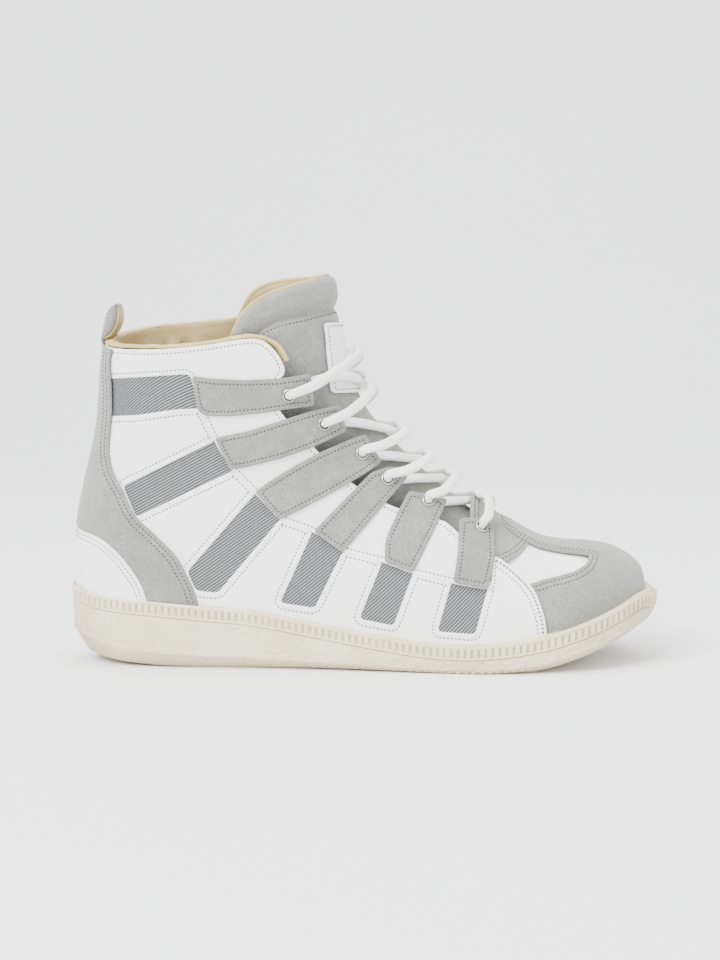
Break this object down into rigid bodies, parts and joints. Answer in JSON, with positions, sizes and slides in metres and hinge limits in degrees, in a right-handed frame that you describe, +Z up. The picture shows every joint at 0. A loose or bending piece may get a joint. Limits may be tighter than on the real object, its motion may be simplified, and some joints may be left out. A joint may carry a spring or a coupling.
{
  "type": "basketball high top",
  "caption": "High-top basketball shoe with a cupsole, six lacing straps a side, a padded tongue, a mudguard toe cap and a heel pull loop.",
  "frame": {"origin": "middle of the shoe's box in plan, on the floor it stands on", "axes": "+X heel to toe, +Z up, lateral side towards -Y (a right shoe)"},
  "size_m": [0.295, 0.1044, 0.1966],
  "materials": {
    "white_leather": "smooth matt leather, fine grain",
    "grey_suede": "short-napped suede, matt",
    "grey_textile": "ribbed woven textile, slight sheen",
    "silver_metal": "polished silver-coloured eyelet",
    "beige_lining": "soft beige lining leather",
    "beige_piping": "pale beige folded leather edge",
    "padding": "soft foam",
    "stiffener": "thermoplastic stiffener",
    "label_fabric": "plain white stitched label",
    "white_lace": "flat tubular woven lace",
    "cream_rubber": "pebbled cream rubber, lightly soiled",
    "foxing_rubber": "ribbed cream rubber",
    "board": "fibre insole board"
  },
  "bodies": {
    "shoe": {"collar_foam": "padding", "collar_piping": "beige_piping", "footbed": "beige_lining", "foxing_strip": "foxing_rubber", "heel_cap": "white_leather", "heel_counter": "stiffener", "heel_stay": "grey_suede", "insole_board": "board", "lace": "white_lace", "lateral_eyelet_1": "silver_metal", "lateral_eyelet_2": "silver_metal", "lateral_eyelet_3": "silver_metal", "lateral_eyelet_4": "silver_metal", "lateral_eyelet_5": "silver_metal", "lateral_eyelet_6": "silver_metal", "lateral_eyestay": "white_leather", "lateral_quarter": "white_leather", "lateral_strap_1": "grey_suede", "lateral_strap_2": "grey_suede", "lateral_strap_3": "grey_suede", "lateral_strap_4": "grey_suede", "lateral_strap_5": "grey_suede", "lateral_strap_6": "grey_suede", "lateral_textile": "grey_textile", "medial_eyelet_1": "silver_metal", "medial_eyelet_2": "silver_metal", "medial_eyelet_3": "silver_metal", "medial_eyelet_4": "silver_metal", "medial_eyelet_5": "silver_metal", "medial_eyelet_6": "silver_metal", "medial_eyestay": "white_leather", "medial_quarter": "white_leather", "medial_strap_1": "grey_suede", "medial_strap_2": "grey_suede", "medial_strap_3": "grey_suede", "medial_strap_4": "grey_suede", "medial_strap_5": "grey_suede", "medial_strap_6": "grey_suede", "medial_textile": "grey_textile", "outsole": "cream_rubber", "quarter_lining": "beige_lining", "sole_filler": "padding", "toe_cap": "grey_suede", "toe_puff": "stiffener", "tongue_base": "grey_suede", "vamp": "white_leather", "vamp_lining": "beige_lining"},
    "tongue": {"tongue_suede": "grey_suede", "tongue_padding": "padding", "tongue_lining": "beige_lining", "tongue_piping": "beige_piping", "tongue_label": "label_fabric"},
    "heel_tab": {"heel_pull_tab": "grey_suede"}
  },
  "joints": [
    {"name": "tongue_tilt", "type": "hinge", "parent": "shoe", "child": "tongue", "pos_m": [0.068, 0, 0.052], "axis": [0, 1, 0], "range_deg": [-8, 0]},
    {"name": "heel_tab_flex", "type": "hinge", "parent": "shoe", "child": "heel_tab", "pos_m": [-0.1276, 0, 0.1622], "axis": [0, 1, 0], "range_deg": [-30, 8], "stiffness_Nm_per_rad": 0.003}
  ]
}
